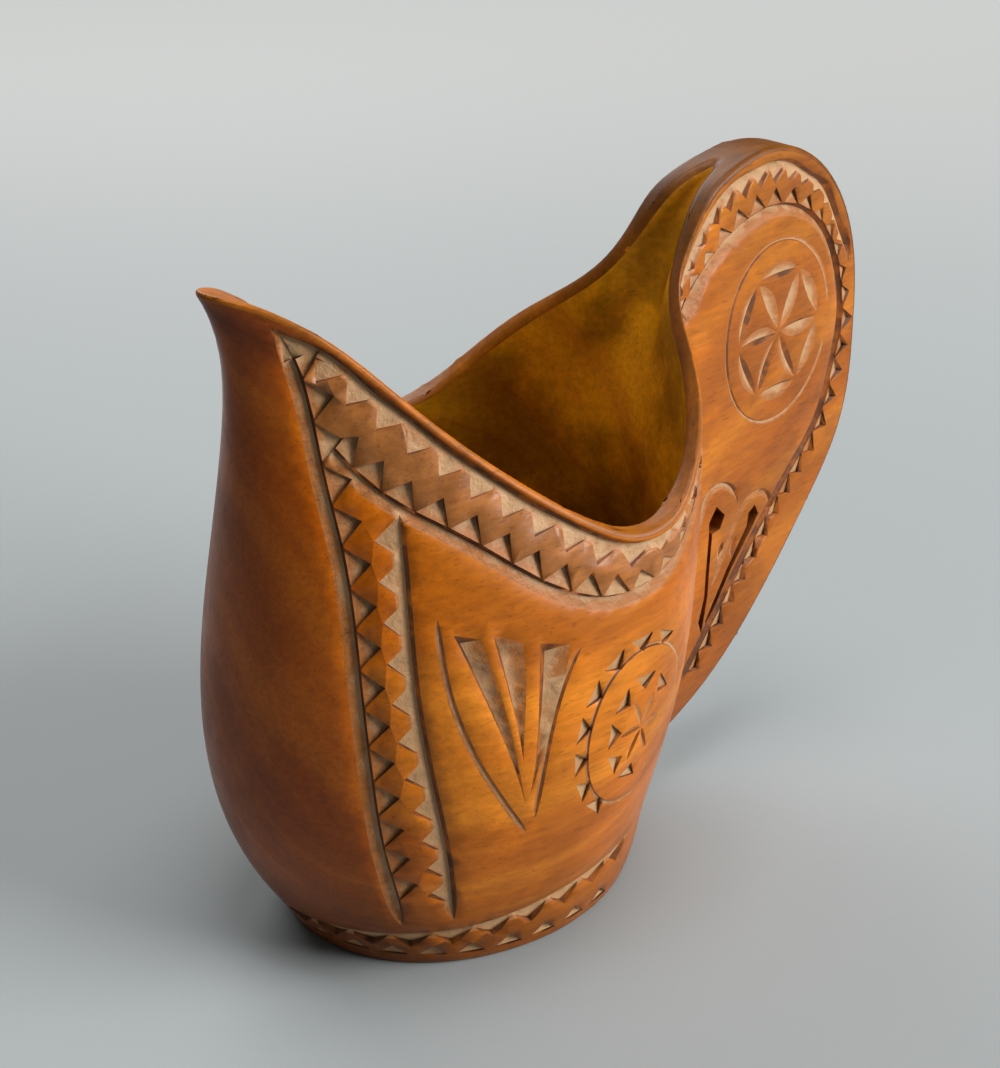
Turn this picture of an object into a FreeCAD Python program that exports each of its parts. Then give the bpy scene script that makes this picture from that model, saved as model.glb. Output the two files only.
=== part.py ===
import FreeCAD, Part
import math
import os

V = FreeCAD.Vector

# Driving sizes, in millimetres
# The origin is the middle of the foot's underside, the beak points along -X and the handle along +X.
FOOT_LENGTH = 76.0
FOOT_WIDTH = 64.0
BELLY_WIDTH = 84.0
BELLY_FRONT = 53.3
BELLY_HEIGHT = 52.0
THROAT_FRONT = 47.8
THROAT_HEIGHT = 112.0
THROAT_WIDTH = 72.0
BOWL_BACK = 47.5
BEAK_REACH = 54.9
BEAK_HEIGHT = 136.2
DIP_X = 11.0
DIP_HEIGHT = 87.0
HANDLE_TOP_X = 78.0
HANDLE_TOP_HEIGHT = 138.4
HANDLE_BACK_X = 112.8
HANDLE_BACK_HEIGHT = 92.0
BLADE_ROOT_X = 57.5
BLADE_ROOT = 21.4
BLADE_EDGE = 6.5
BLADE_THINNING = 0.40
LIP = 3.6
WALL = 5.0
THROAT_WALL = 4.5
FLOOR = 8.0

# Sections
FRONT_STEPS = 7
BACK_STEPS = 4
BLEND_STEPS = 3
BLADE_STEPS = 4
ROUND_SHARE = 0.88
BLEND_REACH = 10.0
SPARE = 6.0


def smooth(points, z):
    """Value at height z of the smooth line through points, each a (height, value) pair."""
    last = len(points) - 1
    i = 0
    while i < last - 1 and z > points[i + 1][0]:
        i += 1

    def slope(k):
        a = points[max(k - 1, 0)]
        b = points[min(k + 1, last)]
        return (b[1] - a[1]) / (b[0] - a[0])

    (z0, v0), (z1, v1) = points[i], points[i + 1]
    span = z1 - z0
    t = (z - z0) / span
    h00 = 2 * t ** 3 - 3 * t ** 2 + 1
    h10 = t ** 3 - 2 * t ** 2 + t
    h01 = 3 * t ** 2 - 2 * t ** 3
    h11 = t ** 3 - t ** 2
    return h00 * v0 + h10 * span * slope(i) + h01 * v1 + h11 * span * slope(i + 1)


# The lines that the bowl is shaped to, each as (height, value)
TOP = max(BEAK_HEIGHT, HANDLE_TOP_HEIGHT) + 3.0
NOSE_LINE = [(0, -FOOT_LENGTH / 2), (12, -44.8), (28, -51.3), (BELLY_HEIGHT, -BELLY_FRONT), (82, -50.2),
             (THROAT_HEIGHT, -THROAT_FRONT), (126, -48.8), (BEAK_HEIGHT, -BEAK_REACH), (TOP, -BEAK_REACH - 2.0)]
SIDE_LINE = [(0, FOOT_WIDTH / 2), (12, 35.0), (28, 38.6), (BELLY_HEIGHT, BELLY_WIDTH / 2), (82, 40.2),
             (THROAT_HEIGHT, THROAT_WIDTH / 2), (TOP, 33.4)]
WIDEST_LINE = [(0, 0), (28, 1.2), (BELLY_HEIGHT, 6.0), (82, 14.0), (THROAT_HEIGHT, 20.0), (TOP, 20.0)]
BACK_LINE = [(0, FOOT_LENGTH / 2), (12, 40.5), (28, 43.6), (BELLY_HEIGHT, 46.6), (82, BOWL_BACK),
             (THROAT_HEIGHT, 47.2), (126, 51.0), (TOP, 56.5)]
PINCH_LINE = [(0, 0), (70, 0), (90, 0.1), (THROAT_HEIGHT, 0.3), (126, 0.42), (TOP, 0.52)]
BLADE_GROWTH = [(0, 0.25), (12, 0.7), (28, 1.0), (BELLY_HEIGHT, 1.0), (TOP, 1.0)]
OUTER_LEVELS = [0, 12, 28, BELLY_HEIGHT, 68, 82, 97, THROAT_HEIGHT, 126, TOP]


def blade_half(x, z):
    """Half the handle blade's thickness, thinner towards its back edge and its top."""
    share = (x - BLADE_ROOT_X) / (HANDLE_BACK_X - BLADE_ROOT_X)
    rise = max(z - HANDLE_BACK_HEIGHT, 0) / (HANDLE_TOP_HEIGHT - HANDLE_BACK_HEIGHT)
    full = (BLADE_ROOT + share * (BLADE_EDGE - BLADE_ROOT)) / 2 * (1 - BLADE_THINNING * rise)
    return full * smooth(BLADE_GROWTH, z)


def outer_half(z):
    """Half outline of the level section at height z, from the nose round the side to the tail."""
    nose = smooth(NOSE_LINE, z)
    side = smooth(SIDE_LINE, z)
    middle = smooth(WIDEST_LINE, z)
    back = smooth(BACK_LINE, z)
    pinch = smooth(PINCH_LINE, z)
    points = []
    for k in range(FRONT_STEPS + 1):
        angle = math.pi / 2 * k / FRONT_STEPS
        reach = math.cos(angle)
        points.append((middle - (middle - nose) * reach, side * math.sin(angle) * (1 - pinch * reach)))
    turn = math.asin(ROUND_SHARE)
    for k in range(1, BACK_STEPS + 1):
        angle = turn * k / BACK_STEPS
        points.append((middle + (back - middle) * math.sin(angle), side * math.cos(angle)))
    x0, w0 = points[-1]
    x1 = back + BLEND_REACH * smooth(BLADE_GROWTH, z)
    w1 = blade_half(x1, z)
    fall = -side / (back - middle) * math.tan(turn)
    rest = (blade_half(x1 + 1, z) - w1) * (x1 - x0)
    for k in range(1, BLEND_STEPS + 1):
        t = k / BLEND_STEPS
        w = (2 * t ** 3 - 3 * t ** 2 + 1) * w0 + (t ** 3 - 2 * t ** 2 + t) * fall * (x1 - x0)
        w += (3 * t ** 2 - 2 * t ** 3) * w1 + (t ** 3 - t ** 2) * rest
        points.append((x0 + t * (x1 - x0), w))
    tail = HANDLE_BACK_X + SPARE
    for k in range(1, BLADE_STEPS + 1):
        x = x1 + (tail - x1) * k / BLADE_STEPS
        points.append((x, blade_half(x, z)))
    return points


def outer_wire(z):
    """Whole level section at height z, closed by a straight line across the tail."""
    half = outer_half(z)
    loop = [V(x, w, z) for x, w in reversed(half)] + [V(x, -w, z) for x, w in half[1:]]
    spline = Part.BSplineCurve()
    spline.interpolate(Points=loop, Parameters=[float(i) for i in range(len(loop))])
    return Part.Wire([spline.toShape(), Part.makeLine(loop[-1], loop[0])])


def outer_body():
    """Body of the cup before its side view, hollow and carving are cut."""
    return Part.makeLoft([outer_wire(z) for z in OUTER_LEVELS], True, False)


def outer_at(half, x):
    """Half width of a level section's half outline at x."""
    for (x0, w0), (x1, w1) in zip(half[:-1], half[1:]):
        if x0 <= x <= x1:
            return w0 + (w1 - w0) * (x - x0) / (x1 - x0)
    return 0.0


# The side view's line as (x, height): up the back edge, over the handle, along the rim to the beak
SIDE_VIEW = [(FOOT_LENGTH / 2 + 2, 7.0), (48.5, 12.3), (65.4, 23.1), (82.7, 37.5), (99.8, 54.9), (109.3, 68),
             (112.6, 80), (HANDLE_BACK_X, HANDLE_BACK_HEIGHT), (111.6, 108), (105.6, 123), (94.0, 134),
             (HANDLE_TOP_X, HANDLE_TOP_HEIGHT), (67, 136.2), (59.7, 132.8), (52.6, 124.7), (43.1, 111.0),
             (31.5, 96.4), (21, 88.3), (DIP_X, DIP_HEIGHT), (1.7, 91.3), (-8, 98.4), (-24, 113.8), (-35.6, 126.5),
             (-44, 132.5), (-BEAK_REACH, BEAK_HEIGHT)]
FOOT_STEP = 0.5
FOOT_EDGE = 2.0


def side_profile():
    """The side view's area over one half of the cup's width."""
    spline = Part.BSplineCurve()
    spline.interpolate(Points=[V(x, 0, z) for x, z in SIDE_VIEW])
    edge = spline.toShape()
    start = edge.valueAt(edge.FirstParameter)
    tip = edge.valueAt(edge.LastParameter)
    far = -BEAK_REACH - SPARE
    foot = FOOT_LENGTH / 2 + FOOT_STEP
    corners = [tip, V(far, 0, tip.z), V(far, 0, 0), V(foot, 0, 0), V(foot, 0, start.z - FOOT_EDGE), start]
    lines = [Part.makeLine(a, b) for a, b in zip(corners[:-1], corners[1:])]
    face = Part.Face(Part.Wire([edge] + lines))
    return face.extrude(V(0, -BELLY_WIDTH, 0))


# The hollow, by heights: front, half width, back and how far each end narrows
HOLLOW_NOSE = [(FLOOR, -30), (FLOOR + 4, -39.5), (26, -45.5), (BELLY_HEIGHT, -BELLY_FRONT + WALL), (82, -45.6),
               (THROAT_HEIGHT, -THROAT_FRONT + THROAT_WALL), (126, -44.0), (BEAK_HEIGHT, -46.0), (TOP + 2, -47)]
HOLLOW_SIDE = [(FLOOR, 23), (FLOOR + 4, 29.5), (26, 33.6), (BELLY_HEIGHT, BELLY_WIDTH / 2 - WALL), (82, 35.9),
               (THROAT_HEIGHT, THROAT_WIDTH / 2 - LIP), (TOP + 2, 29.8)]
HOLLOW_BACK = [(FLOOR, 27), (FLOOR + 4, 34.0), (26, 38), (BELLY_HEIGHT, 41.5), (82, 43.5), (97, 47),
               (110, 52), (119, 56), (126, 60), (134, 66), (TOP + 2, 77)]
HOLLOW_LEVELS = [FLOOR, FLOOR + 4, 26, BELLY_HEIGHT, 68, 82, 97, 110, 119, 126, 134, TOP + 2]
HOLLOW_STEPS = 9
END_ROUNDING = 9


def hollow_wire(z):
    """Level section of the hollow at height z, a wall's width inside the outer section."""
    nose = smooth(HOLLOW_NOSE, z)
    middle = smooth(WIDEST_LINE, z)
    back = smooth(HOLLOW_BACK, z)
    wall = smooth(SIDE_LINE, z) - smooth(HOLLOW_SIDE, z)
    outer = outer_half(z)
    half = []
    for k in range(2 * HOLLOW_STEPS + 1):
        reach = math.cos(math.pi * k / (2 * HOLLOW_STEPS))
        x = middle - (middle - (nose if reach > 0 else back)) * abs(reach)
        if reach < 0:
            x = middle + (back - middle) * -reach
        w = max(outer_at(outer, x) - wall, 0) * (1 - abs(reach) ** END_ROUNDING) ** 0.5
        half.append((x, w))
    loop = [V(x, -w, z) for x, w in half] + [V(x, w, z) for x, w in half[-2:0:-1]]
    spline = Part.BSplineCurve()
    spline.interpolate(Points=loop, PeriodicFlag=True, Parameters=[float(i) for i in range(len(loop) + 1)])
    return Part.Wire([spline.toShape()])


def hollow():
    """The space inside the cup, open at the top."""
    return Part.makeLoft([hollow_wire(z) for z in HOLLOW_LEVELS], True, False)


# Carving
# Each groove is a V with a broad slope and a steep wall. Each chip is a triangle that is deepest at its point.
GROOVE_WIDTH = 2.8
RIM_GROOVE_WIDTH = 2.3
GROOVE_DEPTH = 1.3
LINE_WIDTH = 1.3
LINE_DEPTH = 0.6
FINE_WIDTH = 0.9
FINE_DEPTH = 0.4
LEAF_WIDTH = 1.7
LEAF_DEPTH = 0.8
TONGUE_WIDTH = 2.2
TONGUE_DEPTH = 0.8
STEEP_SHARE = 0.25
CHIP_DEPTH = 1.5
CHIP_BASE_DEPTH = 0.3
CHIP_HEIGHT = 4.2
CHIP_LEAST = 2.2
CHIP_SHARE = 0.95
CHIP_SPREAD = 1.9
CHIP_INSET = 0.6
RIBBON = 0.6
OVER = 1.2
END_LIFT = 0.3
END_SHARE = 0.01
STEP = 5.0
LONG_STEP = 8.5
LEAST_STEPS = 5
BATCH = 6
FADE = 5.0
GAP_POINTS = 90

# How far apart the chips stand, and where each row starts, in pitches from the start of its line
RIM_PITCH = 6.6
HANDLE_PITCH = 5.6
BAND_PITCH = 7.3
FOOT_PITCH = 8.0
RIM_START = 0.9
NECK_START = 0.8
HANDLE_START = 0.5
BAND_LEFT_START = 1.0
BAND_RIGHT_START = 0.8
FOOT_START = 0.5
FOOT_LOW_START = 1.0

# The groove round the foot and its chips
FOOT_CHIP = 4.0
FOOT_CHIP_LOW = 3.2
FOOT_LOW_HEIGHT = 1.4
FOOT_GROOVE_WIDTH = 2.0
FOOT_GROOVE_DEPTH = 1.0
FOOT_LINE = [(-45, 10.0), (-20, 10.6), (0, 13.2), (20, 15.6), (30, 16.0)]
FOOT_MIDDLE = 0.5
FOOT_HALF = 42.0
FOOT_POINTS = 8
FOOT_TURN = math.radians(121.5)

# Lines of the carving on the side of the cup, as (x, height)
RIM_INSET = [(-60, 2.3), (40, 2.3), (60, 2.8), (78, 3.3), (120, 3.3)]
RIM_BAND_START = (-44.0, 132.5)
RIM_BAND_END = (111.6, 108.0)
RIM_POINTS = 34
NECK_POINT = 18
NECK_LOW = 10
LOW_ROUTE = [(-39.2, 112.1), (-35.5, 105), (-30.8, 99.5), (-21.6, 92.4), (-10.3, 83.2), (-0.4, 77.7), (8.2, 76.2),
             (20, 79.5), (30, 87.5), (40, 98), (50, 109.5), (57, 117.2), (68.3, 123.5), (79.1, 125.8), (91.2, 123.2),
             (100.6, 115.3), (105.8, 103.4), (106.8, 97.3), (104.8, 85.8), (101.3, 75.6), (90.8, 64.5), (76.9, 51.2),
             (61.9, 35.8), (52, 25.5)]
FRONT_LEFT = [(-44.4, 130.5), (-40.9, 121.6), (-39.8, 104.8), (-39.5, 92), (-40.7, 65.5), (-40.7, 48.8),
              (-38.2, 31.5), (-35.8, 22.6), (-32.8, 12.5)]
FRONT_RIGHT = [(-30.3, 99.2), (-31.6, 86.2), (-33, 65.2), (-32, 49.6), (-28.3, 30.1), (-26.5, 21.1), (-24.8, 13)]
FAN_LEFT = [(-28.1, 80.3), (-28.3, 74.8), (-28.1, 67.4), (-24.9, 53.8), (-18, 39.6), (-14, 32.8)]
FAN_RIGHT = [(-3.1, 70.3), (-8.7, 60.7), (-11.7, 49), (-13.1, 35.5)]
FLUTES = [[(-26.8, 77.4), (-25, 74.2), (-20.6, 75.3), (-15, 39.1)],
          [(-20.4, 76.8), (-18.6, 72.3), (-13.1, 73.2), (-16.2, 49.1)],
          [(-12.6, 73.3), (-10.2, 69.7), (-4.1, 71.2), (-14.8, 41.3)]]
FLUTE_DEPTH = 2.0
FLUTE_STEPS = 5
FLUTE_REACH = 0.97
FLUTE_FALL = 0.8
FLUTE_SWELL = 1.5
FLUTE_SPREAD = 1.2
ROSETTE = (11.0, 47.4)
ROSETTE_RING = (16.5, 19.5)
ROSETTE_INNER = (13.7, 17.0)
ROSETTE_STAR = (6.2, 8.0)
ROSETTE_STAR_RING = (8.6, 11.2)
ROSETTE_PITCH = 7.4
ROSETTE_START = 0.3
ROSETTE_CHIP = 3.0
ROSETTE_CHIP_DEPTH = 1.1
ROSETTE_ARC = (60, 262)
ROSETTE_STAR_ARC = (30, 330)
RING_ARC = (0, 350)
RING_POINTS = 24
ARC_POINTS = 12
ROSETTE_LEAVES = 6
LEAF_TURN = 360 / ROSETTE_LEAVES
HANDLE_ROSETTE = (82.7, 99.0)
HANDLE_RING = (18.2, 19.4)
HANDLE_PETAL = 14.4
PETAL_WIDTH = 3.4
PETAL_DEPTH = 0.9
LEFT_LEAF = [(57.6, 61.0), (58.3, 66.9), (61.5, 70.4), (66.5, 69.5), (70.2, 66.3), (71.3, 62.5)]
RIGHT_LEAF = [(62.0, 46.5), (66.2, 53.0), (70.0, 59.0), (74.5, 63.4), (79.2, 63.6), (83.4, 60.6), (84, 56.8),
              (81.8, 51.4), (75.1, 46.5), (65.4, 40.3), (58.2, 33.0)]
TONGUES = [[(66.4, 56.4), (65.3, 50.6)], [(71.4, 55.9), (69.7, 50.6)]]
SLOTS = [[(63.2, 65.4), (66.4, 62.4), (65.0, 59.6), (62.2, 59.4), (61.4, 45.0), (59.6, 36.4), (58.4, 39.6),
          (60.2, 45.0), (61.0, 59.6), (60.8, 62.4)],
         [(77.6, 60.8), (79.2, 58.2), (76.9, 55.4), (70.0, 48.4), (61.4, 37.6), (60.8, 38.8), (68.0, 48.4),
          (75.0, 56.6), (75.4, 59.6)]]


def on_skin(skin, guess):
    """Nearest point of the outer surface to guess, and the outward direction there."""
    u, v = skin.parameter(guess)
    return skin.value(u, v), skin.normal(u, v)


def lay(route):
    """Points on the cup's side for a route given as (x, height)."""
    return [V(x, -outer_at(outer_half(z), x), z) for x, z in route]


def track(points):
    """Smooth curve through points, and its length."""
    curve = Part.BSplineCurve()
    curve.interpolate(Points=points)
    return curve, curve.length()


def place(skin, curve, distance):
    """Point, outward direction, direction ahead and direction across at a distance along a track."""
    at = curve.parameterAtDistance(distance, curve.FirstParameter)
    point, out = on_skin(skin, curve.value(at))
    ahead = V(*curve.tangent(at)[0])
    across = out.cross(ahead).normalize()
    return point, out, across.cross(out), across


def groove(skin, points, width, depth, step=STEP, fade=(FADE, FADE), lens=False):
    """V groove along points, with its steep wall on the left of the way ahead."""
    curve, length = track(points)
    count = max(LEAST_STEPS, round(length / step))
    tall = depth + OVER
    left = width * STEEP_SHARE * tall / depth
    right = width * (1 - STEEP_SHARE) * tall / depth
    sections = []
    for k in range(count + 1):
        distance = length * k / count
        point, out, ahead, across = place(skin, curve, distance)
        share = 1.0
        if lens:
            share = math.sin(math.pi * k / count)
        else:
            for end, run in ((distance, fade[0]), (length - distance, fade[1])):
                if end < run:
                    share = min(share, math.sin(math.pi / 2 * end / run))
        sink = depth * share
        if share < END_SHARE:
            sink -= END_LIFT
        bottom = point - out * sink
        corners = [bottom, bottom + out * tall + across * left, bottom + out * tall - across * right]
        sections.append(Part.makePolygon(corners + corners[:1]))
    return Part.makeLoft(sections, True, False)


def polyhedron(points, faces):
    """Solid with flat faces, each a list of point numbers."""
    shell = Part.Shell([Part.Face(Part.makePolygon([points[i] for i in face + face[:1]])) for face in faces])
    solid = Part.Solid(shell)
    if solid.Volume < 0:
        solid.reverse()
    return solid


def chip(skin, middle, out, ahead, toward, width, height, depth):
    """Triangular chip with its base centred on middle and its deep point at height towards one side."""
    ground = [on_skin(skin, middle + ahead * (width * side) + toward * rise)[0]
              for side, rise in ((-0.5, 0), (0.5, 0), (0, height))]
    depths = (CHIP_BASE_DEPTH, CHIP_BASE_DEPTH, depth)
    low = [point - out * deep for point, deep in zip(ground, depths)]
    high = [point + out * OVER for point in ground]
    return polyhedron(low + high, [[0, 2, 1], [3, 4, 5], [0, 1, 4, 3], [1, 2, 5, 4], [2, 0, 3, 5]])


def chip_row(skin, points, pitch, hand, start, height=CHIP_HEIGHT, depth=CHIP_DEPTH, inset=CHIP_INSET,
             opposite=None):
    """Row of chips along points, pointing to the left (+1) or right (-1) of the way ahead.

    Where the row faces an opposite line, its chips leave room for the ribbon and for the chips of that line.
    """
    curve, length = track(points)
    others = track(opposite)[0].discretize(Number=GAP_POINTS) if opposite else []
    chips = []
    count = int(length / pitch - start)
    for k in range(count):
        point, out, ahead, across = place(skin, curve, (k + start) * pitch)
        rise = height
        if others:
            gap = min(point.distanceToPoint(other) for other in others)
            rise = max(CHIP_LEAST, min(height, (gap - RIBBON) / 2 - inset))
        width = min(pitch * CHIP_SHARE, rise * CHIP_SPREAD)
        toward = across * hand
        middle = point + toward * inset
        chips.append(chip(skin, middle, out, ahead, toward, width, rise, depth * rise / height))
    return chips


def ellipse(centre, radii, start, end, count):
    """Points on the cup's side along an ellipse, with the angles in degrees."""
    route = []
    for k in range(count + 1):
        angle = math.radians(start + (end - start) * k / count)
        route.append((centre[0] + radii[0] * math.cos(angle), centre[1] + radii[1] * math.sin(angle)))
    return lay(route)


def rim_route():
    """Line inside the rim and over the handle, from the beak to the handle's back edge."""
    spline = Part.BSplineCurve()
    spline.interpolate(Points=[V(x, 0, z) for x, z in reversed(SIDE_VIEW)])
    first = spline.parameter(V(RIM_BAND_START[0], 0, RIM_BAND_START[1]))
    last = spline.parameter(V(RIM_BAND_END[0], 0, RIM_BAND_END[1]))
    route = []
    for k in range(RIM_POINTS + 1):
        at = first + (last - first) * k / RIM_POINTS
        edge = spline.value(at)
        ahead = V(*spline.tangent(at)[0])
        inset = smooth(RIM_INSET, edge.x)
        route.append((edge.x + ahead.z * inset, edge.z - ahead.x * inset))
    return lay(route)


def batches(tools):
    """Tools in small groups, each cut in one go."""
    return [tools[k:k + BATCH] for k in range(0, len(tools), BATCH)]


def band_tools(skin):
    """Border under the rim and round the handle, and the upright band at the front."""
    rim = rim_route()
    low = lay(LOW_ROUTE)
    left = lay(FRONT_LEFT)
    right = lay(FRONT_RIGHT)
    grooves = [groove(skin, rim, RIM_GROOVE_WIDTH, GROOVE_DEPTH, LONG_STEP)]
    grooves += [groove(skin, points, GROOVE_WIDTH, GROOVE_DEPTH, LONG_STEP) for points in (low, left, right)]
    rows = chip_row(skin, rim[:NECK_POINT + 1], RIM_PITCH, -1, RIM_START, opposite=low)
    rows += chip_row(skin, rim[NECK_POINT:], HANDLE_PITCH, -1, HANDLE_START, opposite=low)
    rows += chip_row(skin, low[:NECK_LOW + 1], RIM_PITCH, 1, NECK_START, opposite=rim)
    rows += chip_row(skin, low[NECK_LOW:], HANDLE_PITCH, 1, HANDLE_START, opposite=rim)
    rows += chip_row(skin, left, BAND_PITCH, 1, BAND_LEFT_START, opposite=right)
    rows += chip_row(skin, right, BAND_PITCH, -1, BAND_RIGHT_START, opposite=left)
    return [[line] for line in grooves] + batches(rows)


def flute(skin, corners, depth):
    """Tapering V cut with a narrow and a wide slope, from the notch at its top down to a point."""
    left, notch, right, tip = [V(x, 0, z) for x, z in corners]
    sections = []
    for k in range(FLUTE_STEPS + 1):
        share = k / FLUTE_STEPS
        valley = notch + (tip - notch) * share * FLUTE_REACH
        spread = 1 - share ** FLUTE_SWELL * FLUTE_REACH
        level = [valley + (side - notch) * spread for side in (left, notch, right)]
        ground = [on_skin(skin, guess)[0] for guess in lay([(point.x, point.z) for point in level])]
        out = on_skin(skin, ground[1])[1]
        bottom = ground[1] - out * depth * (1 - share) ** FLUTE_FALL
        high = [bottom + (point - bottom) * FLUTE_SPREAD + out * OVER for point in (ground[0], ground[2])]
        sections.append(Part.makePolygon([bottom, high[0], high[1], bottom]))
    return Part.makeLoft(sections, True, False)


def fan_tools(skin):
    """Three flutes between two fine lines on the side of the bowl."""
    lines = [groove(skin, lay(route), LINE_WIDTH, LINE_DEPTH) for route in (FAN_LEFT, FAN_RIGHT)]
    return batches(lines + [flute(skin, corners, FLUTE_DEPTH) for corners in FLUTES])


def rosette_chips(skin, ring, arc):
    """Chips that stand on an ellipse round the bowl's rosette and point inwards."""
    line = ellipse(ROSETTE, ring, *arc, ARC_POINTS)
    return chip_row(skin, line, ROSETTE_PITCH, 1, ROSETTE_START, ROSETTE_CHIP, ROSETTE_CHIP_DEPTH, 0.0)


def fine_ring(skin, centre, radii):
    """Fine line round a rosette, open by a few degrees."""
    return groove(skin, ellipse(centre, radii, *RING_ARC, RING_POINTS), FINE_WIDTH, FINE_DEPTH)


def lens_groove(skin, start, end, width, depth):
    """Short groove from start to end, pointed at both ends."""
    return groove(skin, [start, (start + end) * 0.5, end], width, depth, lens=True)


def rosette_tools(skin):
    """Rosette on the bowl and petals on the handle."""
    tools = [fine_ring(skin, ROSETTE, ROSETTE_INNER)]
    tools += rosette_chips(skin, ROSETTE_RING, ROSETTE_ARC)
    tools += rosette_chips(skin, ROSETTE_STAR_RING, ROSETTE_STAR_ARC)
    turns = [LEAF_TURN * k for k in range(ROSETTE_LEAVES)]
    middle = lay([ROSETTE])[0]
    for turn in turns:
        tip = ellipse(ROSETTE, ROSETTE_STAR, turn, turn, 1)[0]
        tools.append(lens_groove(skin, middle, tip, LINE_WIDTH, LINE_DEPTH))
    petals = [fine_ring(skin, HANDLE_ROSETTE, HANDLE_RING)]
    heart = lay([HANDLE_ROSETTE])[0]
    tips = [ellipse(HANDLE_ROSETTE, (HANDLE_PETAL, HANDLE_PETAL), turn, turn, 1)[0] for turn in turns]
    for tip, following in zip(tips, tips[1:] + tips[:1]):
        petals.append(lens_groove(skin, heart, tip, PETAL_WIDTH, PETAL_DEPTH))
        petals.append(lens_groove(skin, tip, following, PETAL_WIDTH, PETAL_DEPTH))
    return batches(tools) + batches(petals)


def heart_tools(skin):
    """Heart outline with two tongues on the handle, and the two slots cut through it."""
    tools = [groove(skin, lay(leaf), LEAF_WIDTH, LEAF_DEPTH) for leaf in (LEFT_LEAF, RIGHT_LEAF)]
    for start, end in TONGUES:
        middle = ((start[0] + end[0]) / 2, (start[1] + end[1]) / 2)
        tools.append(groove(skin, lay([start, middle, end]), TONGUE_WIDTH, TONGUE_DEPTH, lens=True))
    slots = []
    for outline in SLOTS:
        corners = [V(x, -BLADE_ROOT, z) for x, z in outline]
        slots.append(Part.Face(Part.makePolygon(corners + corners[:1])).extrude(V(0, BLADE_ROOT + OVER, 0)))
    return [tools, slots]


def foot_line():
    """Points round the foot, from the nose towards the back."""
    points = []
    for k in range(FOOT_POINTS + 1):
        x = FOOT_MIDDLE - FOOT_HALF * math.cos(FOOT_TURN * k / FOOT_POINTS)
        z = smooth(FOOT_LINE, x)
        half = outer_half(z)
        nose = half[0][0]
        x = nose + (x + FOOT_HALF - FOOT_MIDDLE) / FOOT_HALF * -nose
        points.append(V(x, -outer_at(half, x), z))
    return points


def foot_tools(skin):
    """Groove round the foot, chips that point down from it and chips that point up from the lower edge."""
    points = foot_line()
    beyond = V(points[0].x, -points[1].y / 2, points[0].z)
    line = groove(skin, [beyond] + points, FOOT_GROOVE_WIDTH, FOOT_GROOVE_DEPTH, LONG_STEP, (0, FADE))
    low = [V(x, y, FOOT_LOW_HEIGHT) for x, y, z in points]
    rows = chip_row(skin, points, FOOT_PITCH, -1, FOOT_START, FOOT_CHIP)
    rows += chip_row(skin, low, FOOT_PITCH, 1, FOOT_LOW_START, FOOT_CHIP_LOW)
    return [[line]] + batches(rows)


def build_cup():
    """One side of the cup with its carving, joined to its mirror image."""
    outer = outer_body()
    skin = max(outer.Faces, key=lambda face: face.Area).Surface
    half = outer.common(side_profile()).cut(hollow())
    groups = band_tools(skin) + fan_tools(skin) + rosette_tools(skin) + heart_tools(skin) + foot_tools(skin)
    for group in groups:
        half = half.cut(group)
    other = half.mirror(V(0, 0, 0), V(0, 1, 0))
    return half.fuse(other).removeSplitter()


os.makedirs("parts", exist_ok=True)
cup = build_cup()
cup.exportStep("parts/cup.step")
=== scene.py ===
"""Looks of the carved wedding cup: one piece of polished wood with knife-cut ornament, on a pale floor."""

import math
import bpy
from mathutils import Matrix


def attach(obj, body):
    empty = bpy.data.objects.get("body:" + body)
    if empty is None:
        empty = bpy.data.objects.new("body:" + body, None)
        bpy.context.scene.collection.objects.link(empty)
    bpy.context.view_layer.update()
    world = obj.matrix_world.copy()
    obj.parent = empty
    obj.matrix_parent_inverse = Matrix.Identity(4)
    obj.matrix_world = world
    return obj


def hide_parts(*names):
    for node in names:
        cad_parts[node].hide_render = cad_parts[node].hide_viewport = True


bl_info = {
    "name": "Carved Wedding Cup",
    "version": (1, 0, 0),
    "blender": (4, 5, 0),
    "location": "View3D > Sidebar > Cup",
    "description": "Dresses a carved wooden cup and its plain studio",
    "category": "Object",
}

import bmesh
import bpy
from mathutils import Vector
from mathutils.bvhtree import BVHTree

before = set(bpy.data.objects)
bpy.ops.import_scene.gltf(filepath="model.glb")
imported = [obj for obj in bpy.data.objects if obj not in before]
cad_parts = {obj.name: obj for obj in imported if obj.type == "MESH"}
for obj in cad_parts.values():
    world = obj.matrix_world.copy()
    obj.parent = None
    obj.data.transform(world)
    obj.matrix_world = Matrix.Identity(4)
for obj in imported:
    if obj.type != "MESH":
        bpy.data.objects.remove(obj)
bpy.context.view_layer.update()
CUP = "cup"
SUNK = "sunk"
SURFACE = "surface"

# Kinds of surface, which are also the numbers of the cup's material slots
SKIN, LIP, HOLLOW, CUT, WALL, RIBBON, FOOT = range(7)

# A broad surface is level where its faces point up or down by this much on average
FLAT = 0.9
# An edge that turns inwards by more than this is an inner corner
CORNER = math.radians(8)
# How often an edge is halved to find where a line crosses it, and the share of it where it may be cut
HALVINGS = 12
CUT_SHARES = (0.02, 0.98)
# A face belongs to a rounding while it reaches no deeper than this many radii
ROUND_REACH = 1.02
# A direction shorter than this has no meaning
NO_LENGTH = 1e-10

# Where the colour changes, in metres: heights, or places along the cup from the beak to the handle. The
# darkening at the foot, at the front and deep in the hollow is painted shade.
FOOT_SHADE_HEIGHTS = (0.0, 0.035)
HOLLOW_SHADE_HEIGHTS = (0.030, 0.100)
FRONT_SHADE_PLACES = (-0.050, -0.024)
LIP_PLACES = (0.030, 0.060)
HANDLE_PLACES = (0.045, 0.070)

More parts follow.
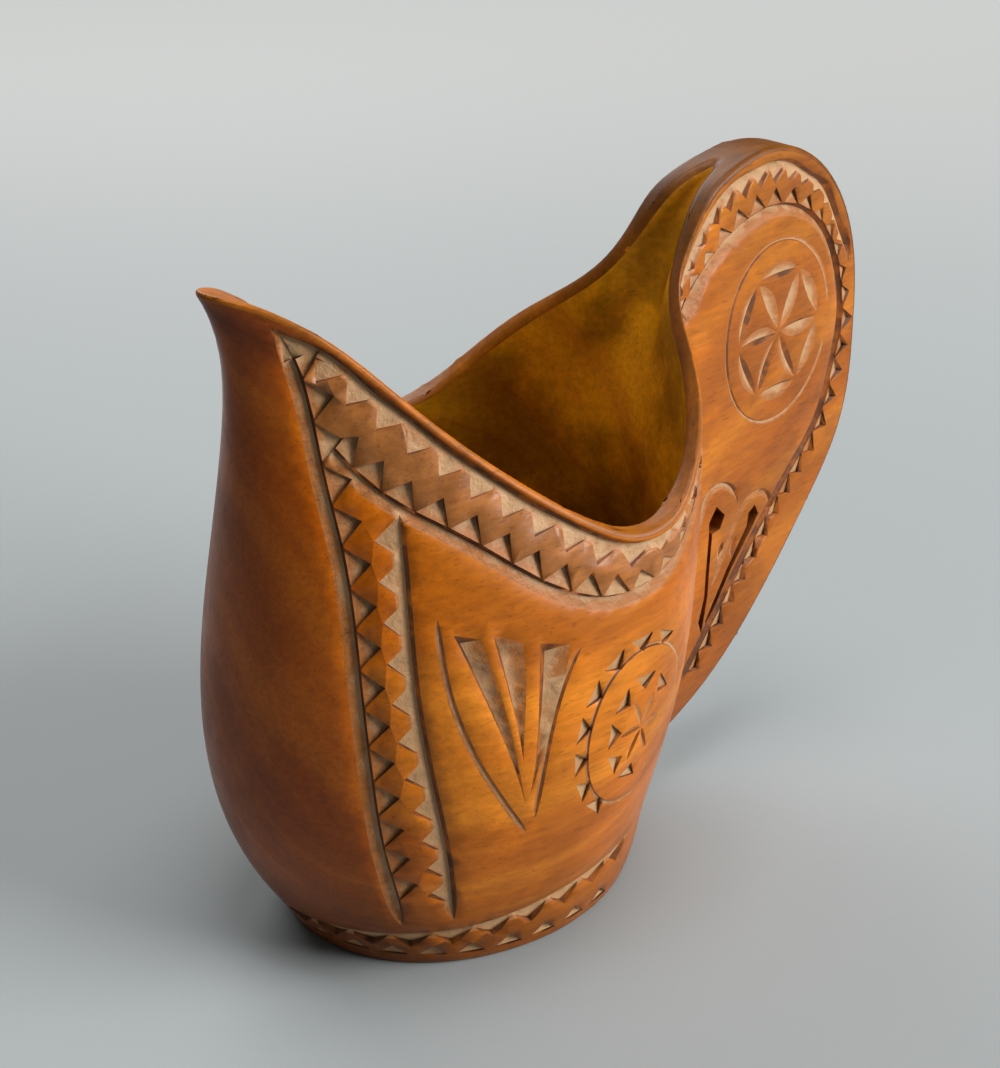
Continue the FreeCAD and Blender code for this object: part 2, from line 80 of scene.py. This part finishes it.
# The grain: the direction across the growth rings, how far they sway and their share of the tone
RINGS_ACROSS = (0.10, 0.72, -0.70)
RING_SWAY = 0.045
RING_SHARE = 0.62
RING_TONES = (0.28, 0.66)
MIDDLE_TONE = 0.45

# The floor, in metres: where it grows lighter behind the cup with painted light, and how far out it turns
# into the wall
BEHIND_LIGHT_PLACES = (0.05, 1.1)
WALL_REACH = (0.40, 1.05)

# The camera's long side in millimetres, and the nearest distance that it sees in metres
LONG_SIDE = 36.0
NEAREST = 0.01


# Sizes and colours that a user would change
class CupSettings(bpy.types.PropertyGroup):
    """Sizes of the cup's edges, and the limits that tell its surfaces apart"""

    merge: bpy.props.FloatProperty(
        name="Merge Distance", description="Points of the CAD mesh closer than this become one",
        default=0.00001, unit="LENGTH", precision=6)
    sharp_angle: bpy.props.FloatProperty(
        name="Sharp Angle", description="Edges that turn more than this stay crisp",
        default=math.radians(28), subtype="ANGLE")
    lip_round: bpy.props.FloatProperty(
        name="Lip Rounding", description="Radius of the lip's and the handle's edges",
        default=0.0011, unit="LENGTH", precision=5)
    foot_round: bpy.props.FloatProperty(
        name="Foot Rounding", description="Radius of the foot's lower edge",
        default=0.0009, unit="LENGTH", precision=5)
    round_steps: bpy.props.IntProperty(
        name="Rounding Steps", description="Facets across each rounded edge", default=4, min=2)
    sunk_share: bpy.props.FloatProperty(
        name="Sunk Share",
        description="Surfaces with more of their border in inner corners than this are cuts",
        default=0.08, subtype="FACTOR", min=0, max=1)
    small_surface: bpy.props.FloatProperty(
        name="Small Surface", description="CAD surfaces with less area than this are cuts or ribbon",
        default=0.0009, unit="AREA", precision=5)
    wall_facing: bpy.props.FloatProperty(
        name="Wall Facing", description="Cut facets that face the skin's way less than this are steep walls",
        default=0.72, subtype="FACTOR", min=0, max=1)


class WoodSettings(bpy.types.PropertyGroup):
    """Colours of the wood and of its finish"""

    light: bpy.props.FloatVectorProperty(
        name="Light Wood", description="Colour of the bright figure",
        default=(0.62, 0.195, 0.010, 1), subtype="COLOR", size=4, min=0, max=1)
    middle: bpy.props.FloatVectorProperty(
        name="Middle Wood", description="Main colour of the polished skin",
        default=(0.44, 0.112, 0.003, 1), subtype="COLOR", size=4, min=0, max=1)
    dark: bpy.props.FloatVectorProperty(
        name="Dark Wood", description="Colour of the dark figure",
        default=(0.17, 0.036, 0.003, 1), subtype="COLOR", size=4, min=0, max=1)
    # Painted shade on the front, which faces away from the window lamp
    front: bpy.props.FloatVectorProperty(
        name="Front Painted Shade", description="Darkening of the front under the beak",
        default=(0.68, 0.50, 0.20, 1), subtype="COLOR", size=4, min=0, max=1)
    lip: bpy.props.FloatVectorProperty(
        name="Lip Wood", description="Orange brown of the rubbed rim",
        default=(0.32, 0.092, 0.004, 1), subtype="COLOR", size=4, min=0, max=1)
    ribbon: bpy.props.FloatVectorProperty(
        name="Ribbon Wood", description="Mauve brown of the ribbon between the chips",
        default=(0.34, 0.120, 0.028, 1), subtype="COLOR", size=4, min=0, max=1)
    cut: bpy.props.FloatVectorProperty(
        name="Cut Wood", description="Dry pale colour at the bottom of the chips and grooves",
        default=(0.43, 0.245, 0.115, 1), subtype="COLOR", size=4, min=0, max=1)
    # Dark colour of the cuts' steep walls, which is painted shade in the cuts together with real dirt; also
    # the hollow's dark figure
    grime_and_shade: bpy.props.FloatVectorProperty(
        name="Grime and Painted Shade", description="Colour of the dirt on the steep walls of the cuts",
        default=(0.045, 0.018, 0.008, 1), subtype="COLOR", size=4, min=0, max=1)
    inside: bpy.props.FloatVectorProperty(
        name="Inside Wood", description="Golden brown of the hollow",
        default=(0.90, 0.385, 0.006, 1), subtype="COLOR", size=4, min=0, max=1)


class StageSettings(bpy.types.PropertyGroup):
    """Floor, light from all round and camera"""

    floor_colour: bpy.props.FloatVectorProperty(
        name="Floor Colour", description="Cool pale grey of the floor round the cup",
        default=(0.30, 0.325, 0.332, 1), subtype="COLOR", size=4, min=0, max=1)
    # The floor's paler grey far behind the cup is painted light; the wall is evenly this colour
    far_colour: bpy.props.FloatVectorProperty(
        name="Far Colour", description="Paler grey of the floor far behind the cup and of the wall",
        default=(0.62, 0.63, 0.62, 1), subtype="COLOR", size=4, min=0, max=1)
    fill: bpy.props.FloatProperty(
        name="Fill Light", description="Strength of the even light from all round", default=0.12, min=0)
    floor_half: bpy.props.FloatProperty(
        name="Floor Half Width", description="Half the floor's width", default=6.0, unit="LENGTH")
    camera_place: bpy.props.FloatVectorProperty(
        name="Camera Place", description="Where the camera stands",
        default=(-0.20076, -0.24792, 0.23253), subtype="XYZ", size=3, unit="LENGTH")
    camera_way: bpy.props.FloatVectorProperty(
        name="Camera Way", description="Direction that the camera looks in",
        default=(0.58360, 0.68142, -0.44167), subtype="XYZ", size=3)
    lens: bpy.props.FloatProperty(
        name="Lens", description="Focal length for a picture whose long side is 36 mm",
        default=62.36, unit="CAMERA")


# Small helpers for node trees
def add_node(tree, kind, **values):
    """New node with some of its own values set."""
    node = tree.nodes.new(kind)
    for name, value in values.items():
        setattr(node, name, value)
    return node


def join(tree, start, end):
    """Link from one node's output to another's input."""
    tree.links.new(start, end)


def set_inputs(node, values):
    """Set constants on a node's inputs, given by name."""
    for name, value in values.items():
        node.inputs[name].default_value = value


def feed(tree, socket, value):
    """Link a socket's value into an input, or set a plain value on it."""
    if isinstance(value, bpy.types.NodeSocket):
        join(tree, value, socket)
    else:
        socket.default_value = value


def mix_colour(tree, factor, first, second, blend="MIX"):
    """Mix of two colours, each a socket or a plain colour."""
    node = add_node(tree, "ShaderNodeMix", data_type="RGBA", blend_type=blend)
    for socket, value in ((node.inputs[0], factor), (node.inputs[6], first), (node.inputs[7], second)):
        feed(tree, socket, value)
    return node.outputs[2]


def shade(tree, colour, amount):
    """Colour multiplied by a value or by another colour."""
    return mix_colour(tree, 1.0, colour, amount, "MULTIPLY")


def calculate(tree, operation, first, second):
    """Sum, product or the like of two values, each a socket or a plain number."""
    node = add_node(tree, "ShaderNodeMath", operation=operation)
    feed(tree, node.inputs[0], first)
    feed(tree, node.inputs[1], second)
    return node.outputs[0]


def spread(tree, value, low, high, to_low=0.0, to_high=1.0):
    """Value taken smoothly from low..high to to_low..to_high."""
    node = add_node(tree, "ShaderNodeMapRange", interpolation_type="SMOOTHSTEP")
    join(tree, value, node.inputs[0])
    for socket, number in zip(node.inputs[1:5], (low, high, to_low, to_high)):
        socket.default_value = number
    return node.outputs[0]


def object_place(tree):
    """Place of each point on the object, in metres."""
    return add_node(tree, "ShaderNodeTexCoord").outputs["Object"]


def along(tree, axis):
    """Place of each point along X, Y or Z."""
    split = add_node(tree, "ShaderNodeSeparateXYZ")
    join(tree, object_place(tree), split.inputs[0])
    return split.outputs[axis]


def dot(tree, vector, direction):
    """How far each point lies in a direction."""
    node = add_node(tree, "ShaderNodeVectorMath", operation="DOT_PRODUCT")
    join(tree, vector, node.inputs[0])
    node.inputs[1].default_value = direction
    return node.outputs["Value"]


def draw_out(tree, vector, share, move=(0, 0, 0)):
    """Places squeezed along X to a share, which draws a pattern out along the grain."""
    node = add_node(tree, "ShaderNodeMapping")
    join(tree, vector, node.inputs[0])
    set_inputs(node, {"Scale": (share, 1, 1), "Location": move})
    return node.outputs[0]


def noise(tree, vector, scale, detail, roughness):
    """Noise pattern, its scale a number or a socket."""
    node = add_node(tree, "ShaderNodeTexNoise")
    join(tree, vector, node.inputs["Vector"])
    feed(tree, node.inputs["Scale"], scale)
    set_inputs(node, {"Detail": detail, "Roughness": roughness})
    return node.outputs[0]


def new_group(name, inputs, outputs):
    """Empty shader group with its named inputs and outputs."""
    tree = bpy.data.node_groups.new(name, "ShaderNodeTree")
    for label, kind in inputs:
        tree.interface.new_socket(label, in_out="INPUT", socket_type=kind)
    for label, kind in outputs:
        tree.interface.new_socket(label, in_out="OUTPUT", socket_type=kind)
    return tree, tree.nodes.new("NodeGroupInput"), tree.nodes.new("NodeGroupOutput")


def place_group(tree, group, values):
    """Shader group placed in a material with its own values."""
    node = add_node(tree, "ShaderNodeGroup", node_tree=group)
    join(tree, object_place(tree), node.inputs["Vector"])
    set_inputs(node, values)
    return node


def new_material(name):
    """Empty material and its node tree."""
    material = bpy.data.materials.new(name)
    material.use_nodes = True
    material.node_tree.nodes.clear()
    return material, material.node_tree


# Effects that several finishes share
def wood_figure_group():
    """Broad growth rings, fine streaks and pores of a slow-grown hardwood, with the grain along X."""
    tree, start, end = new_group(
        "wood_figure",
        [("Vector", "NodeSocketVector"), ("Light", "NodeSocketColor"), ("Middle", "NodeSocketColor"),
         ("Dark", "NodeSocketColor"), ("Contrast", "NodeSocketFloat")],
        [("Color", "NodeSocketColor"), ("Grain", "NodeSocketFloat")])
    vector = start.outputs["Vector"]
    sway = noise(tree, draw_out(tree, vector, 0.35), scale=9, detail=2, roughness=0.45)
    swayed = calculate(tree, "MULTIPLY", sway, RING_SWAY)
    across = calculate(tree, "ADD", dot(tree, vector, RINGS_ACROSS), swayed)
    line = add_node(tree, "ShaderNodeCombineXYZ")
    join(tree, across, line.inputs[0])
    rings = noise(tree, line.outputs[0], scale=70, detail=4, roughness=0.6)
    clouds = noise(tree, draw_out(tree, vector, 0.5, move=(3, 1, 2)), scale=26, detail=4, roughness=0.55)
    fine = noise(tree, draw_out(tree, vector, 0.07), scale=900, detail=3, roughness=0.6)
    pores = noise(tree, draw_out(tree, vector, 0.10, move=(5, 5, 5)), scale=2300, detail=2, roughness=0.5)
    tone = calculate(tree, "ADD", calculate(tree, "MULTIPLY", rings, RING_SHARE),
                     calculate(tree, "MULTIPLY", clouds, 1 - RING_SHARE))
    tone = spread(tree, tone, *RING_TONES)
    middle = start.outputs["Middle"]
    colour = mix_colour(tree, spread(tree, tone, 0.0, MIDDLE_TONE), start.outputs["Dark"], middle)
    colour = mix_colour(tree, spread(tree, tone, MIDDLE_TONE, 1.0), colour, start.outputs["Light"])
    colour = mix_colour(tree, start.outputs["Contrast"], middle, colour)
    colour = shade(tree, colour, spread(tree, fine, 0.3, 0.7, to_low=0.86, to_high=1.1))
    pore = spread(tree, pores, 0.30, 0.40, to_low=0.72)
    join(tree, shade(tree, colour, pore), end.inputs["Color"])
    join(tree, calculate(tree, "MULTIPLY", fine, pore), end.inputs["Grain"])
    return tree


def wear_group():
    """Soft patches where the finish has darkened or dulled with handling."""
    tree, start, end = new_group(
        "old_finish", [("Vector", "NodeSocketVector"), ("Scale", "NodeSocketFloat")],
        [("Patches", "NodeSocketFloat")])
    patches = noise(tree, start.outputs["Vector"], start.outputs["Scale"], detail=5.0, roughness=0.62)
    join(tree, spread(tree, patches, 0.38, 0.66), end.inputs["Patches"])
    return tree


def start_wood(name, groups, colours, contrast, patch_scale):
    """Begin a wooden finish: its material and tree, the grain's colour and height, and the worn patches."""
    material, tree = new_material(name)
    figure, wear = groups
    light, middle, dark = colours
    grain = place_group(tree, figure, {"Light": light, "Middle": middle, "Dark": dark, "Contrast": contrast})
    old = place_group(tree, wear, {"Scale": patch_scale})
    return material, tree, grain.outputs["Color"], grain.outputs["Grain"], old.outputs["Patches"]


def finish_wood(tree, colour, roughness, height, strength, distance, values):
    """End a wooden finish: a Principled surface with a bump, its constants set on the sockets."""
    shader = add_node(tree, "ShaderNodeBsdfPrincipled")
    set_inputs(shader, values)
    join(tree, colour, shader.inputs["Base Color"])
    feed(tree, shader.inputs["Roughness"], roughness)
    bump = add_node(tree, "ShaderNodeBump")
    set_inputs(bump, {"Strength": strength, "Distance": distance})
    join(tree, height, bump.inputs["Height"])
    join(tree, bump.outputs[0], shader.inputs["Normal"])
    join(tree, shader.outputs[0], add_node(tree, "ShaderNodeOutputMaterial").inputs[0])


# Finishes of the cup
def polished_wood(wood, groups):
    """Outer skin: oiled and worn smooth, darker on the handle, and darker at the front and at the foot with
    painted shade.
    """
    material, tree, colour, grain, patches = start_wood(
        "polished_wood", groups, (wood.light, wood.middle, wood.dark), contrast=0.9, patch_scale=35)
    # Painted shade low down near the floor
    colour = shade(tree, colour, spread(tree, along(tree, "Z"), *FOOT_SHADE_HEIGHTS, to_low=0.62))
    # Painted shade on the front, which faces away from the window lamp
    side = spread(tree, along(tree, "X"), *FRONT_SHADE_PLACES)
    colour = mix_colour(tree, side, shade(tree, colour, wood.front), colour)
    colour = shade(tree, colour, spread(tree, along(tree, "X"), *HANDLE_PLACES, to_low=1.0, to_high=0.70))
    colour = shade(tree, colour, spread(tree, patches, 0, 1, to_low=0.8, to_high=1.06))
    rough = spread(tree, patches, 0, 1, to_low=0.40, to_high=0.30)
    finish_wood(tree, colour, rough, grain, strength=0.25, distance=0.0002,
                values={"Coat Weight": 0.04, "Coat Roughness": 0.18, "Specular IOR Level": 0.20})
    return material


def lip_wood(wood, groups):
    """Rim and handle edge: rubbed by hands, darker along the top of the handle."""
    material, tree, colour, grain, patches = start_wood(
        "lip_wood", groups, (wood.light, wood.lip, wood.middle), contrast=0.5, patch_scale=60)
    colour = shade(tree, colour, spread(tree, along(tree, "X"), *LIP_PLACES, to_low=1.0, to_high=0.42))
    colour = shade(tree, colour, spread(tree, patches, 0, 1, to_low=0.75, to_high=1.1))
    finish_wood(tree, colour, 0.44, grain, strength=0.2, distance=0.0002,
                values={"Specular IOR Level": 0.22})
    return material


def hollow_wood(wood, groups):
    """Inside of the cup: golden brown, darker in patches, and near black towards the bottom with painted
    shade.
    """
    material, tree, colour, grain, patches = start_wood(
        "hollow_wood", groups, (wood.light, wood.inside, wood.grime_and_shade), contrast=0.7, patch_scale=28)
    # Painted shade deep in the hollow, towards the bottom
    colour = shade(tree, colour, spread(tree, along(tree, "Z"), *HOLLOW_SHADE_HEIGHTS, to_low=0.12))
    colour = shade(tree, colour, spread(tree, patches, 0, 1, to_low=0.45, to_high=1.05))
    finish_wood(tree, colour, 0.44, grain, strength=0.2, distance=0.0002,
                values={"Specular IOR Level": 0.16})
    return material


def cut_wood(wood, groups):
    """Floors of the chips and broad slopes of the grooves: brown at the edge, pale and dry at the bottom."""
    material, tree, colour, grain, patches = start_wood(
        "cut_wood", groups, (wood.lip, wood.ribbon, wood.middle), contrast=0.5, patch_scale=260)
    depth = add_node(tree, "ShaderNodeAttribute", attribute_name=SUNK).outputs["Fac"]
    crumbs = calculate(tree, "MULTIPLY", calculate(tree, "SUBTRACT", patches, 0.5), 0.35)
    pale = spread(tree, calculate(tree, "ADD", depth, crumbs), 0.15, 0.85)
    colour = mix_colour(tree, pale, colour, wood.cut)
    height = calculate(tree, "ADD", grain, patches)
    finish_wood(tree, colour, 0.55, height, strength=0.4, distance=0.0003,
                values={"Specular IOR Level": 0.35})
    return material


def cut_wall_dirt_and_shade(wood, groups):
    """Steep walls of the cuts: dark with painted shade and with old wax and dirt, worn back to wood in
    patches.
    """
    material, tree, colour, grain, patches = start_wood(
        "cut_wall_dirt_and_shade", groups, (wood.dark, wood.grime_and_shade, wood.grime_and_shade), contrast=0.5, patch_scale=220)
    # The walls' dark colour is painted shade in the cuts together with old dirt
    worn = spread(tree, patches, 0, 1, to_low=0.12, to_high=0.5)
    colour = mix_colour(tree, worn, colour, wood.middle)
    finish_wood(tree, colour, 0.6, grain, strength=0.4, distance=0.0003,
                values={"Specular IOR Level": 0.25})
    return material


def ribbon_wood(wood, groups):
    """Zigzag ribbon left standing between the chips, duller and more brown than the skin."""
    material, tree, colour, grain, patches = start_wood(
        "ribbon_wood", groups, (wood.lip, wood.ribbon, wood.dark), contrast=0.5, patch_scale=90)
    colour = shade(tree, colour, spread(tree, patches, 0, 1, to_low=0.75, to_high=1.1))
    finish_wood(tree, colour, 0.38, grain, strength=0.25, distance=0.0002,
                values={"Coat Weight": 0.06, "Specular IOR Level": 0.3})
    return material


# The cup's mesh
def number_surfaces(work):
    """Number the faces by CAD surface: each is a patch that shares no point with the rest."""
    layer = work.faces.layers.int.new(SURFACE)
    patches = []
    for first in work.faces:
        if first[layer]:
            continue
        stack = [first]
        first[layer] = len(patches) + 1
        patch = []
        while stack:
            face = stack.pop()
            patch.append(face)
            for edge in face.edges:
                for other in edge.link_faces:
                    if not other[layer]:
                        other[layer] = len(patches) + 1
                        stack.append(other)
        patches.append(patch)
    return patches


def away_from_middle(face):
    """Level direction from the bowl's upright middle line to a face."""
    centre = face.calc_center_median()
    return Vector((centre.x, centre.y, 0)).normalized()


def broad_kind(patch, settings):
    """Kind of a broad surface, or None where it is small."""
    area = sum(face.calc_area() for face in patch)
    if area < settings.small_surface:
        return None
    sideways = sum(face.calc_area() * abs(face.normal.y) for face in patch) / area
    upward = sum(face.calc_area() * face.normal.z for face in patch) / area
    if upward < -FLAT:
        return FOOT
    if upward > FLAT:
        return HOLLOW
    if sideways < 1 - FLAT:
        return LIP
    outward = sum(face.calc_area() * face.normal.dot(away_from_middle(face)) for face in patch)
    return SKIN if outward > 0 else HOLLOW


def inner_corner_shares(work, count):
    """For each surface, the share of its border that is an inner corner."""
    layer = work.faces.layers.int[SURFACE]
    inner = [0.0] * (count + 1)
    border = [0.0] * (count + 1)
    for edge in work.edges:
        if len(edge.link_faces) != 2:
            continue
        first, second = (face[layer] for face in edge.link_faces)
        if first == second:
            continue
        length = edge.calc_length()
        sunk = edge.calc_face_angle_signed(0.0) < -CORNER
        for number in (first, second):
            border[number] += length
            inner[number] += length * sunk
    return [a / b if b else 0.0 for a, b in zip(inner, border)]


def surface_tree(work, kinds):
    """Search tree of the faces of some kinds."""
    places = [tuple(vertex.co) for vertex in work.verts]
    work.verts.index_update()
    faces = [face for face in work.faces if face.material_index in kinds]
    return BVHTree.FromPolygons(places, [[vertex.index for vertex in face.verts] for face in faces])


def sort_surfaces(work, settings):
    """Give each face its kind: skin, lip, hollow, foot, ribbon, floor of a cut or steep wall of a cut."""
    patches = number_surfaces(work)
    kinds = [None] + [broad_kind(patch, settings) for patch in patches]
    bmesh.ops.remove_doubles(work, verts=work.verts, dist=settings.merge)
    sunk = inner_corner_shares(work, len(patches))
    layer = work.faces.layers.int[SURFACE]
    for face in work.faces:
        kind = kinds[face[layer]]
        if kind is None:
            kind = CUT if sunk[face[layer]] > settings.sunk_share else RIBBON
        face.material_index = kind
    skin = surface_tree(work, (SKIN, RIBBON))
    # Steep cut facets get the dark wall finish, which is painted shade in the cuts together with dirt
    for face in work.faces:
        if face.material_index == CUT:
            facing = skin.find_nearest(face.calc_center_median())[1]
            if face.normal.dot(facing) < settings.wall_facing:
                face.material_index = WALL


def cut_level(work, depth, level, sides):
    """Cut the faces of some kinds along the line that lies at one distance from a land."""
    points = {}
    for edge in list(work.edges):
        if not any(face.material_index in sides for face in edge.link_faces):
            continue
        first, second = edge.verts
        if (depth(first.co) - level) * (depth(second.co) - level) >= 0:
            continue
        if depth(first.co) > depth(second.co):
            first, second = second, first
        low, high = 0.0, 1.0
        for _ in range(HALVINGS):
            middle = (low + high) / 2
            if depth(first.co.lerp(second.co, middle)) < level:
                low = middle
            else:
                high = middle
        if CUT_SHARES[0] < low < CUT_SHARES[1]:
            points[edge] = (first, low)
    new = [bmesh.utils.edge_split(edge, vertex, share)[1] for edge, (vertex, share) in points.items()]
    bmesh.ops.connect_verts(work, verts=new)


def round_border(work, land, sides, radius, steps):
    """Round the corner between a land and the surfaces beside it."""
    tree = surface_tree(work, (land,))

    def depth(place):
        return tree.find_nearest(place)[3]

    for step in range(steps):
        turn = math.pi / 2 * step / steps
        cut_level(work, depth, radius * (1 - math.sin(turn)), sides)
    rounded = [face for face in work.faces if face.material_index in sides
               and max(depth(vertex.co) for vertex in face.verts) <= radius * ROUND_REACH]
    moves = {}
    for vertex in work.verts:
        beside = [face for face in vertex.link_faces if face.material_index in (SKIN, RIBBON, HOLLOW)]
        if not beside:
            continue
        _, up, _, down = tree.find_nearest(vertex.co)
        if down >= radius:
            continue
        out = sum((face.normal * face.calc_area() for face in beside), Vector())
        inward = -(out - up * out.dot(up))
        if inward.length < NO_LENGTH:
            continue
        sunk = radius * (1 - math.sqrt(max(0.0, 1 - (1 - down / radius) ** 2)))
        moves[vertex] = inward.normalized() * sunk
    for vertex, move in moves.items():
        vertex.co += move
    for face in rounded:
        face.material_index = land
    work.normal_update()


def mark_depth(work):
    """Store how deep each point of a cut lies under the skin, as a share of the depth of its own cut."""
    layer = work.verts.layers.float.new(SUNK)
    surface = work.faces.layers.int[SURFACE]
    skin = surface_tree(work, (SKIN, RIBBON, LIP))
    depths = {}
    for face in work.faces:
        if face.material_index in (CUT, WALL):
            for vertex in face.verts:
                depths.setdefault(face[surface], {})[vertex] = skin.find_nearest(vertex.co)[3]
    for cut in depths.values():
        deepest = max(cut.values())
        if deepest > 0:
            for vertex, depth in cut.items():
                vertex[layer] = max(vertex[layer], depth / deepest)


class CUP_OT_body(bpy.types.Operator):
    """Dress the cup's wooden body"""

    bl_idname = "cup.body"
    bl_label = "Cup Body"

    def execute(self, context):
        settings = context.scene.cup_settings
        wood = context.scene.cup_wood
        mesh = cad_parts[CUP].data.copy()
        mesh.name = "cup_wood"
        piece = bpy.data.objects.new("cup_wood", mesh)
        context.scene.collection.objects.link(piece)
        groups = (wood_figure_group(), wear_group())
        makers = {SKIN: polished_wood, LIP: lip_wood, HOLLOW: hollow_wood, CUT: cut_wood, WALL: cut_wall_dirt_and_shade,
                  RIBBON: ribbon_wood}
        mesh.materials.clear()
        for kind in sorted(makers):
            mesh.materials.append(makers[kind](wood, groups))
        # The foot has the skin's finish
        mesh.materials.append(mesh.materials[SKIN])
        work = bmesh.new()
        work.from_mesh(mesh)
        sort_surfaces(work, settings)
        round_border(work, LIP, (SKIN, RIBBON, CUT, WALL, HOLLOW), settings.lip_round, settings.round_steps)
        round_border(work, FOOT, (SKIN, CUT, WALL), settings.foot_round, settings.round_steps)
        mark_depth(work)
        for face in work.faces:
            face.smooth = True
        work.to_mesh(mesh)
        work.free()
        mesh.set_sharp_from_angle(angle=settings.sharp_angle)
        even = piece.modifiers.new("even_normals", "WEIGHTED_NORMAL")
        even.mode = "FACE_AREA"
        even.keep_sharp = True
        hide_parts(CUP)
        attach(piece, "root")
        return {"FINISHED"}


# The stage
def look_along(way):
    """Turn that looks along a direction, with the top up."""
    return Vector(way).to_track_quat("-Z", "Y")


def put_in_scene(name, data, place, way):
    """Object for a lamp or camera that stands at a place and looks along a direction."""
    thing = bpy.data.objects.new(name, data)
    bpy.context.scene.collection.objects.link(thing)
    thing.location = place
    thing.rotation_mode = "QUATERNION"
    thing.rotation_quaternion = look_along(way)
    return thing


def add_lamp(name, place, target, size, power, colour=(1.0, 1.0, 1.0)):
    """Soft rectangular lamp that points at a target, its power in watts."""
    data = bpy.data.lights.new(name, "AREA")
    data.shape = "RECTANGLE"
    data.size, data.size_y = size
    data.energy = power
    data.color = colour
    put_in_scene(name, data, place, Vector(target) - Vector(place))


def floor_material(stage):
    """Pale floor that grows lighter behind the cup with painted light and turns into the pale wall further
    out.
    """
    material, tree = new_material("pale_floor")
    shader = add_node(tree, "ShaderNodeBsdfPrincipled")
    set_inputs(shader, {"Roughness": 0.6, "Specular IOR Level": 0.3})
    level_way = Vector((stage.camera_way[0], stage.camera_way[1], 0)).normalized()
    # Painted light: the floor grows lighter away from the camera, behind the cup
    behind = spread(tree, dot(tree, object_place(tree), level_way), *BEHIND_LIGHT_PLACES)
    join(tree, mix_colour(tree, behind, stage.floor_colour, stage.far_colour), shader.inputs["Base Color"])
    reach = add_node(tree, "ShaderNodeVectorMath", operation="LENGTH")
    join(tree, object_place(tree), reach.inputs[0])
    far = spread(tree, reach.outputs["Value"], *WALL_REACH)
    seen = add_node(tree, "ShaderNodeLightPath").outputs["Is Camera Ray"]
    wall = add_node(tree, "ShaderNodeEmission")
    wall.inputs[0].default_value = stage.far_colour
    blend = add_node(tree, "ShaderNodeMixShader")
    join(tree, calculate(tree, "MULTIPLY", far, seen), blend.inputs[0])
    join(tree, shader.outputs[0], blend.inputs[1])
    join(tree, wall.outputs[0], blend.inputs[2])
    join(tree, blend.outputs[0], add_node(tree, "ShaderNodeOutputMaterial").inputs[0])
    return material


def make_floor(scene, stage):
    """Square level floor under the cup."""
    work = bmesh.new()
    bmesh.ops.create_grid(work, x_segments=1, y_segments=1, size=stage.floor_half)
    mesh = bpy.data.meshes.new("floor")
    work.to_mesh(mesh)
    work.free()
    mesh.materials.append(floor_material(stage))
    floor = bpy.data.objects.new("floor", mesh)
    scene.collection.objects.link(floor)


def make_world(scene, stage):
    """Dim even light all round, with a pale wall where the camera looks past the floor."""
    world = bpy.data.worlds.new("studio")
    scene.world = world
    world.use_nodes = True
    tree = world.node_tree
    tree.nodes.clear()
    light = add_node(tree, "ShaderNodeBackground")
    light.inputs[0].default_value = stage.far_colour
    light.inputs[1].default_value = stage.fill
    wall = add_node(tree, "ShaderNodeBackground")
    wall.inputs[0].default_value = stage.far_colour
    seen = add_node(tree, "ShaderNodeMixShader")
    join(tree, add_node(tree, "ShaderNodeLightPath").outputs["Is Camera Ray"], seen.inputs[0])
    join(tree, light.outputs[0], seen.inputs[1])
    join(tree, wall.outputs[0], seen.inputs[2])
    join(tree, seen.outputs[0], add_node(tree, "ShaderNodeOutputWorld").inputs[0])


class CUP_OT_stage(bpy.types.Operator):
    """Set up the floor, the soft light and the camera"""

    bl_idname = "cup.stage"
    bl_label = "Stage"

    def execute(self, context):
        stage = context.scene.cup_stage
        make_floor(context.scene, stage)
        add_lamp("window_light", place=(0.70, -1.00, 0.66), target=(0.02, 0, 0.07), size=(0.8, 0.8), power=29,
                 colour=(1.0, 0.99, 0.97))
        add_lamp("top_light", place=(0.05, -0.05, 1.1), target=(0.02, 0, 0.06), size=(0.5, 0.5), power=6)
        add_lamp("back_light", place=(0.40, 1.5, 1.1), target=(0.02, 0.1, 0.06), size=(1.4, 0.9), power=19)
        make_world(context.scene, stage)
        data = bpy.data.cameras.new("camera")
        data.sensor_width = LONG_SIDE
        data.lens = stage.lens
        data.clip_start = NEAREST
        context.scene.camera = put_in_scene("camera", data, stage.camera_place, stage.camera_way)
        context.scene.view_settings.view_transform = "Standard"
        return {"FINISHED"}


class CUP_PT_panel(bpy.types.Panel):
    """Buttons that dress the cup and set up its stage, with their settings"""

    bl_idname = "CUP_PT_panel"
    bl_label = "Carved Wedding Cup"
    bl_space_type = "VIEW_3D"
    bl_region_type = "UI"
    bl_category = "Cup"

    def draw(self, context):
        layout = self.layout
        for operator in (CUP_OT_body, CUP_OT_stage):
            layout.operator(operator.bl_idname)
        for settings in (context.scene.cup_settings, context.scene.cup_wood, context.scene.cup_stage):
            for name in settings.__annotations__:
                layout.prop(settings, name)


CLASSES = (CupSettings, WoodSettings, StageSettings, CUP_OT_body, CUP_OT_stage, CUP_PT_panel)


def register():
    for one in CLASSES:
        bpy.utils.register_class(one)
    bpy.types.Scene.cup_settings = bpy.props.PointerProperty(type=CupSettings)
    bpy.types.Scene.cup_wood = bpy.props.PointerProperty(type=WoodSettings)
    bpy.types.Scene.cup_stage = bpy.props.PointerProperty(type=StageSettings)


def unregister():
    del bpy.types.Scene.cup_stage
    del bpy.types.Scene.cup_wood
    del bpy.types.Scene.cup_settings
    for one in reversed(CLASSES):
        bpy.utils.unregister_class(one)


def main():
    register()
    bpy.ops.cup.body()
    bpy.ops.cup.stage()
    bpy.context.view_layer.update()


if __name__ == "__main__":
    main()
